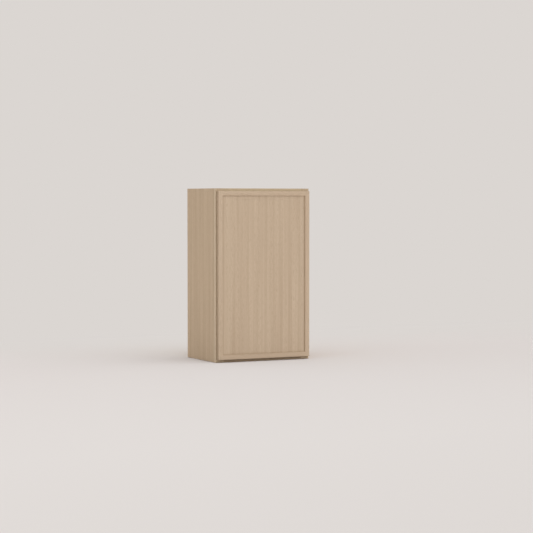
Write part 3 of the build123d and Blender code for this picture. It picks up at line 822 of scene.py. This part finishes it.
# %% Hinge screws
LEVELS = ("upper", "lower")
FACE_LEFT = (0, -math.pi / 2, 0)
FACE_BACK = (-math.pi / 2, 0, 0)
CUP_SIZES_MM = {**SCREW_SIZES_MM, "Length": 11.0}


def on_both(piece):
    """The names of the upper and the lower CAD node of one kind."""
    return [f"{level}_{piece}" for level in LEVELS]


def end_heads(nodes, face, side, across):
    """Places of two screw heads at the lower and upper ends of each node's box, on one side of an axis."""
    places = []
    for node in nodes:
        low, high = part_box(node)
        radius = (high[across] - low[across]) / 2
        for z in (low.z + radius, high.z - radius):
            place = (low + high) / 2
            place.z = z
            place[face] = (low, high)[side][face]
            places.append(place)
    return places


X, Y = 0, 1
LOW_SIDE, HIGH_SIDE = 0, 1
base_nodes = on_both("hinge_base_screws")
base_places = end_heads(base_nodes, X, LOW_SIDE, across=Y)
base_mesh = made_by(screw_tree, base_places, SCREW_SIZES_MM, FACE_LEFT, nickel_steel)
fitted("hinge_base_screws", [base_mesh], "cabinet", "nickel_steel", *base_nodes)

cup_nodes = on_both("hinge_cup_screws")
cup_places = end_heads(cup_nodes, Y, HIGH_SIDE, across=X)
cup_mesh = made_by(screw_tree, cup_places, CUP_SIZES_MM, FACE_BACK, nickel_steel)
fitted("hinge_cup_screws", [cup_mesh], "door", "nickel_steel", *cup_nodes)

# %% [markdown]
# Each hinge base also carries two adjusters: a wide cam that shifts the door sideways, and a narrower screw
# that locks its height. They are short machine screws with straight-sided heads, so the same tree makes them
# when the neck is as wide as the head.

# %% Hinge adjusters
CAM_SIZES_MM = {
    **SCREW_SIZES_MM,
    "Neck radius": 3.5,
    "Head height": 3.2,
    "Length": 5.7,
    "Core radius": 2.2,
    "Thread pitch": 0.8,
    "Thread height": 0.3,
    "Recess span": 4.6,
    "Recess width": 1.1,
}
LOCK_SIZES_MM = {
    **CAM_SIZES_MM,
    "Head radius": 2.5,
    "Neck radius": 2.5,
    "Core radius": 1.5,
    "Recess span": 3.2,
}

cam_places, lock_places = [], []
adjuster_nodes = on_both("hinge_adjusters")
for node in adjuster_nodes:
    low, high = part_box(node)
    middle = (low + high) / 2
    cam_places.append((low.x, low.y + CAM_SIZES_MM["Head radius"] * MM, middle.z))
    lock_places.append((low.x, high.y - LOCK_SIZES_MM["Head radius"] * MM, middle.z))
cams = made_by(screw_tree, cam_places, CAM_SIZES_MM, FACE_LEFT, nickel_steel)
locks = made_by(screw_tree, lock_places, LOCK_SIZES_MM, FACE_LEFT, nickel_steel)
fitted("hinge_adjusters", [cams, locks], "cabinet", "nickel_steel", *adjuster_nodes)

# %% [markdown]
# The thin back panel is held to the hanging rails by rows of brads, which are small nails with a slim head.
# They are far too many and too small for the CAD model, but inside the open cabinet their heads catch the
# light. A second, simpler tree makes them: a low cone for the head and a thin core, on two rows of places.

# %% A tree that makes brads
BRAD_SIZES_MM = {"Head radius": 1.1, "Head height": 0.35, "Core radius": 0.6, "Length": 16.0}
BRAD_TIP = 0.1 * MM
BRAD_SEED = 3

brad_tree, given = new_tree("Brads", BRAD_SIZES_MM)
cap = add(
    brad_tree,
    "GeometryNodeMeshCone",
    {
        "Vertices": CORE_SIDES,
        "Radius Top": given["Core radius"],
        "Radius Bottom": given["Head radius"],
        "Depth": given["Head height"],
    },
)
wire = add(
    brad_tree,
    "GeometryNodeMeshCone",
    {
        "Vertices": CORE_SIDES,
        "Radius Top": given["Core radius"],
        "Radius Bottom": BRAD_TIP,
        "Depth": given["Length"],
    },
)
wire_down = lowered(brad_tree, wire.outputs["Mesh"], given["Length"])
brad = add(brad_tree, "GeometryNodeJoinGeometry", {0: [cap.outputs["Mesh"], wire_down]})
placed(brad_tree, given, brad.outputs[0], BRAD_SEED)
print("brad tree:", len(brad_tree.nodes), "nodes")

# %% Brads in the back panel
BRADS_IN_ROW = 6
ROW_REACH = 190 * MM
FACE_FRONT = (math.pi / 2, 0, 0)

brad_places = []
panel_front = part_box("back_panel")[0].y
for rail in on_both("hanging_rail"):
    rail_low, rail_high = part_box(rail)
    for index in range(BRADS_IN_ROW):
        x = ROW_REACH * (2 * index / (BRADS_IN_ROW - 1) - 1)
        brad_places.append((x, panel_front, (rail_low.z + rail_high.z) / 2))
brad_mesh = made_by(brad_tree, brad_places, BRAD_SIZES_MM, FACE_FRONT, bright_steel)
fitted("back_panel_brads", [brad_mesh], "cabinet", "nickel_steel")

# %% [markdown]
# Two self-adhesive bumpers on the back of the door keep it from clapping against the frame. They are small
# domes of clear polyurethane. A profile of half the dome is spun about its axis, the seam and the pole are
# merged, and the faces are turned outwards. The material is a clear plastic, a little hazy, so the oak shows
# through.

# %% Clear bumper plastic
BUMPER_CLEAR = "#F1EFE9"
BUMPER_IOR = 1.49
BUMPER_CLEARNESS = 0.85
HAZE_SIZE = (1.2, 1.2, 1.2)
HAZE_ROUGHNESS = (0.08, 0.24)

clear_plastic, tree, place = new_material("Clear cast polyurethane")
haze = figure(tree, place, UPRIGHT, HAZE_SIZE)
ends = {"Value": haze, "To Min": HAZE_ROUGHNESS[0], "To Max": HAZE_ROUGHNESS[1]}
surface = add(
    tree,
    "ShaderNodeBsdfPrincipled",
    {
        "Base Color": linear(BUMPER_CLEAR),
        "Roughness": add(tree, "ShaderNodeMapRange", ends).outputs[0],
        "IOR": BUMPER_IOR,
        "Transmission Weight": BUMPER_CLEARNESS,
    },
)
add(tree, "ShaderNodeOutputMaterial", {"Surface": surface.outputs[0]})
print("made:", clear_plastic.name)

# %% Door bumpers
BUMPER_PROFILE = (
    (1.0, 0.0),
    (1.0, 0.18),
    (0.95, 0.45),
    (0.82, 0.70),
    (0.6, 0.88),
    (0.32, 0.97),
    (0.0, 1.0),
)
BUMPER_SIDES = 36
MERGE_DISTANCE = 0.005 * MM

low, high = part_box("door_bumpers")
radius = (high.x - low.x) / 2
thick = high.y - low.y
domes = bmesh.new()
for z in (low.z + radius, high.z - radius):
    centre = Vector((low.x + radius, low.y, z))
    outline = [domes.verts.new(centre + Vector((radius * r, thick * h, 0))) for r, h in BUMPER_PROFILE]
    chain = [domes.verts.new(centre), *outline]
    edges = [domes.edges.new(pair) for pair in zip(chain, chain[1:])]
    bmesh.ops.spin(
        domes, geom=[*chain, *edges], cent=centre, axis=(0, 1, 0), angle=math.tau, steps=BUMPER_SIDES
    )
bmesh.ops.remove_doubles(domes, verts=domes.verts, dist=MERGE_DISTANCE)
bmesh.ops.recalc_face_normals(domes, faces=domes.faces)
for face in domes.faces:
    face.smooth = True
dome_mesh = bpy.data.meshes.new("Bumper domes")
domes.to_mesh(dome_mesh)
domes.free()
dome_mesh.set_sharp_from_angle(angle=SHARP_ANGLE)
dome_mesh.materials.append(clear_plastic)
fitted("door_bumper_domes", [dome_mesh], "door", "clear_bumper", "door_bumpers")

# %% [markdown]
# Every CAD piece that has no finish yet gets one now. Only its material slot changes. The nodes that the
# screws, adjusters and bumpers stand for are hidden, but they get a finish too, so that none is left plain.

# %% Give every remaining CAD piece its material
FINISHES = {
    "left_frame_stile": oak_boards["face-frame stile"],
    "right_frame_stile": oak_boards["face-frame stile"],
    "top_frame_rail": oak_boards["face-frame top rail"],
    "bottom_frame_rail": oak_boards["face-frame bottom rail"],
    "door_left_stile": oak_boards["door stile"],
    "door_right_stile": oak_boards["door stile"],
    "door_top_rail": oak_boards["door rail"],
    "door_bottom_rail": oak_boards["door rail"],
    "door_bumpers": damper_plastic,
}
for level in LEVELS:
    FINISHES[f"{level}_hanging_rail"] = rail_wood
    FINISHES[f"{level}_shelf_edge_band"] = edge_band
    FINISHES[f"{level}_shelf_pins"] = zinc_steel
    FINISHES[f"{level}_hinge_base"] = cast_zinc
    FINISHES[f"{level}_hinge_damper"] = damper_plastic
    for part in ("arm", "cup", "pin", "base_screws", "cup_screws", "adjusters"):
        FINISHES[f"{level}_hinge_{part}"] = nickel_steel
for node, material in FINISHES.items():
    cad_nodes[node].data.materials.clear()
    cad_nodes[node].data.materials.append(material)
sheet_nodes = {sheet[0] for sheet in SHEETS}
print("CAD pieces without a finish:", sorted(set(cad_nodes) - set(FINISHES) - sheet_nodes))

# %% [markdown]
# The finished cabinet has to fill the same box as its CAD model. The CAD model's box is printed here.

# %% Print the CAD box
print("CAD box is", [round((high - low) / MM, 1) for low, high in zip(*cad_box)], "mm")
